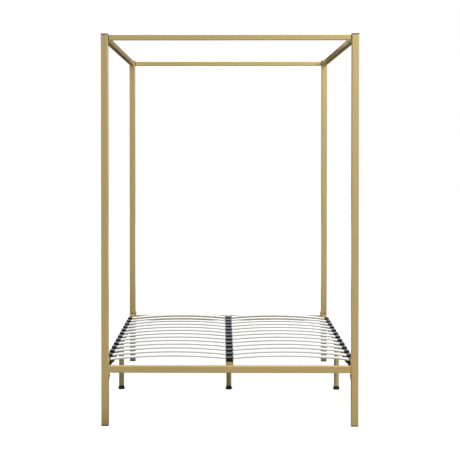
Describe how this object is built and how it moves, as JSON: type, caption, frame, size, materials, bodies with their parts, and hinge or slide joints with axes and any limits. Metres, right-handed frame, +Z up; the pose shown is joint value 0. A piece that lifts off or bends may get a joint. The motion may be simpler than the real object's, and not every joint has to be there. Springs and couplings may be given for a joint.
{
  "type": "four poster canopy bed",
  "caption": "Metal four poster bed with slender square posts, an open canopy of rails, bowed slats in two columns on a centre beam, and round support legs with levelling feet.",
  "frame": {"origin": "on the floor, under the middle of the bed's outer box", "axes": "+X to the right seen from the foot end, +Y from the foot end to the head end, +Z up"},
  "size_m": [1.45, 1.99, 2.212],
  "materials": {
    "gold_frame": "satin champagne gold powder coat",
    "black_plastic": "fine moulded grain",
    "white_slats": "white foil over bent beech plywood",
    "bolt_steel": "dark zinc",
    "zinc_hardware": "zinc plated",
    "black_steel": "black powder coat",
    "brass_inserts": "turned",
    "rubber_disc": "matt"
  },
  "bodies": {
    "bed_frame": {"post_foot_left": "gold_frame", "post_foot_right": "gold_frame", "post_head_left": "gold_frame", "post_head_right": "gold_frame", "post_end_caps": "black_plastic", "canopy_rail_foot": "gold_frame", "canopy_rail_head": "gold_frame", "canopy_rail_left": "gold_frame", "canopy_rail_right": "gold_frame", "canopy_end_plugs": "black_plastic", "canopy_plug_inserts": "brass_inserts", "canopy_bolts": "zinc_hardware", "foot_rail": "gold_frame", "head_rail": "gold_frame", "side_rail_left": "gold_frame", "side_rail_right": "gold_frame", "post_inserts": "zinc_hardware", "rail_bolts": "bolt_steel", "centre_beam": "gold_frame", "beam_saddles": "black_steel", "beam_screws": "zinc_hardware", "slat_left_01": "white_slats", "slat_left_02": "white_slats", "slat_left_03": "white_slats", "slat_left_04": "white_slats", "slat_left_05": "white_slats", "slat_left_06": "white_slats", "slat_left_07": "white_slats", "slat_left_08": "white_slats", "slat_left_09": "white_slats", "slat_left_10": "white_slats", "slat_left_11": "white_slats", "slat_left_12": "white_slats", "slat_left_13": "white_slats", "slat_right_01": "white_slats", "slat_right_02": "white_slats", "slat_right_03": "white_slats", "slat_right_04": "white_slats", "slat_right_05": "white_slats", "slat_right_06": "white_slats", "slat_right_07": "white_slats", "slat_right_08": "white_slats", "slat_right_09": "white_slats", "slat_right_10": "white_slats", "slat_right_11": "white_slats", "slat_right_12": "white_slats", "slat_right_13": "white_slats", "side_slat_holders": "black_plastic", "centre_slat_holders": "black_plastic", "leg_left": "gold_frame", "leg_centre": "gold_frame", "leg_right": "gold_frame", "leg_top_fittings": "zinc_hardware", "leg_foot_inserts": "zinc_hardware"},
    "foot_disc_left": {"foot_disc_left": "rubber_disc"},
    "foot_knob_left": {"foot_knob_left": "black_plastic"},
    "foot_disc_centre": {"foot_disc_centre": "rubber_disc"},
    "foot_knob_centre": {"foot_knob_centre": "black_plastic"},
    "foot_disc_right": {"foot_disc_right": "rubber_disc"},
    "foot_knob_right": {"foot_knob_right": "black_plastic"}
  },
  "joints": [
    {"name": "foot_extend_left", "type": "slide", "parent": "bed_frame", "child": "foot_disc_left", "axis": [0, 0, -1], "range_m": [0, 0.01]},
    {"name": "foot_turn_left", "type": "hinge", "parent": "foot_disc_left", "child": "foot_knob_left", "pos_m": [-0.7, 0, 0.01], "axis": [0, 0, 1], "range_deg": [0, 2880]},
    {"name": "foot_extend_centre", "type": "slide", "parent": "bed_frame", "child": "foot_disc_centre", "axis": [0, 0, -1], "range_m": [0, 0.01]},
    {"name": "foot_turn_centre", "type": "hinge", "parent": "foot_disc_centre", "child": "foot_knob_centre", "pos_m": [0, 0, 0.01], "axis": [0, 0, 1], "range_deg": [0, 2880]},
    {"name": "foot_extend_right", "type": "slide", "parent": "bed_frame", "child": "foot_disc_right", "axis": [0, 0, -1], "range_m": [0, 0.01]},
    {"name": "foot_turn_right", "type": "hinge", "parent": "foot_disc_right", "child": "foot_knob_right", "pos_m": [0.7, 0, 0.01], "axis": [0, 0, 1], "range_deg": [0, 2880]}
  ],
  "couplings": [
    {"joint": "foot_extend_left", "follows": "foot_turn_left", "m_per_rad": 0.00019894},
    {"joint": "foot_extend_centre", "follows": "foot_turn_centre", "m_per_rad": 0.00019894},
    {"joint": "foot_extend_right", "follows": "foot_turn_right", "m_per_rad": 0.00019894}
  ]
}
